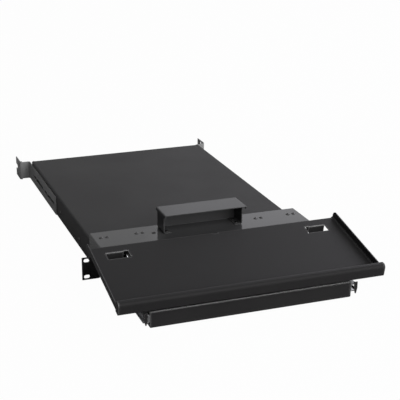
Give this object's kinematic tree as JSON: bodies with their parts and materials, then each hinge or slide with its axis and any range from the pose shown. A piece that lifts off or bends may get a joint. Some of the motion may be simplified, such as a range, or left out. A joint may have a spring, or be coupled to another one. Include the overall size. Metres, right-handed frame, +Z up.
{
  "type": "rack keyboard shelf",
  "caption": "Rack-mounted shelf with a fixed deck and a sliding drawer on telescopic slides that carries a wide tilting keyboard tray; a small cable hood stands on its raised front plate.",
  "frame": {"origin": "centre of the front ears' rack slots, in the middle of the ear sheet", "axes": "+X to the right as seen from the front, +Y into the rack, +Z up"},
  "size_m": [0.487, 0.9061, 0.1072],
  "materials": {
    "black_coat": "satin powder coat",
    "grey_coat": "satin powder coat",
    "zinc_steel": "bright zinc plate",
    "cage_steel": "bright steel",
    "screw_black": "black oxide",
    "bumper_rubber": "matt"
  },
  "bodies": {
    "chassis": {"chassis_deck": "black_coat", "raised_plate": "grey_coat", "cable_hood": "grey_coat", "front_ear_left": "black_coat", "front_ear_right": "black_coat", "rear_bracket_left": "grey_coat", "rear_bracket_right": "grey_coat", "plate_spacer_inner_left": "black_coat", "plate_spacer_inner_right": "black_coat", "plate_spacer_outer_left": "black_coat", "plate_spacer_outer_right": "black_coat", "slide_outer_left": "zinc_steel", "slide_outer_right": "zinc_steel", "slide_screws": "screw_black", "front_ear_screws": "screw_black", "rear_bracket_screws": "screw_black", "raised_plate_screws": "screw_black", "hood_screws": "screw_black"},
    "drawer": {"drawer_pan": "black_coat", "slide_inner_left": "zinc_steel", "slide_inner_right": "zinc_steel", "tilt_arm_left": "black_coat", "tilt_arm_right": "black_coat", "pivot_pin_left": "zinc_steel", "pivot_pin_right": "zinc_steel", "lever_pin_left": "zinc_steel", "lever_pin_right": "zinc_steel", "tilt_arm_screws": "screw_black", "tray_bumpers": "bumper_rubber"},
    "middle_slides": {"slide_middle_left": "zinc_steel", "slide_middle_right": "zinc_steel"},
    "outer_cages": {"ball_cage_outer_left": "cage_steel", "ball_cage_outer_right": "cage_steel"},
    "inner_cages": {"ball_cage_inner_left": "cage_steel", "ball_cage_inner_right": "cage_steel"},
    "tray": {"keyboard_tray": "black_coat"},
    "lever_left": {"release_lever_left": "black_coat"},
    "lever_right": {"release_lever_right": "black_coat"}
  },
  "joints": [
    {"name": "drawer_slide", "type": "slide", "parent": "chassis", "child": "drawer", "axis": [0, -1, 0], "range_m": [-0.03, 0.25]},
    {"name": "middle_slide", "type": "slide", "parent": "chassis", "child": "middle_slides", "axis": [0, -1, 0], "range_m": [-0.015, 0.125]},
    {"name": "outer_cage_roll", "type": "slide", "parent": "chassis", "child": "outer_cages", "axis": [0, -1, 0], "range_m": [-0.0075, 0.0625]},
    {"name": "inner_cage_roll", "type": "slide", "parent": "chassis", "child": "inner_cages", "axis": [0, -1, 0], "range_m": [-0.0225, 0.1875]},
    {"name": "tray_tilt", "type": "hinge", "parent": "drawer", "child": "tray", "pos_m": [0, -0.07222, 0.04251], "axis": [-1, 0, 0], "range_deg": [0, 12]},
    {"name": "lever_left_press", "type": "hinge", "parent": "drawer", "child": "lever_left", "pos_m": [-0.1912, -0.2138, -0.0035], "axis": [1, 0, 0], "range_deg": [-8, 8], "stiffness_Nm_per_rad": 0.05},
    {"name": "lever_right_press", "type": "hinge", "parent": "drawer", "child": "lever_right", "pos_m": [0.1912, -0.2138, -0.0035], "axis": [1, 0, 0], "range_deg": [-8, 8], "stiffness_Nm_per_rad": 0.05}
  ],
  "couplings": [
    {"joint": "middle_slide", "follows": "drawer_slide", "ratio": 0.5},
    {"joint": "outer_cage_roll", "follows": "drawer_slide", "ratio": 0.25},
    {"joint": "inner_cage_roll", "follows": "drawer_slide", "ratio": 0.75}
  ]
}
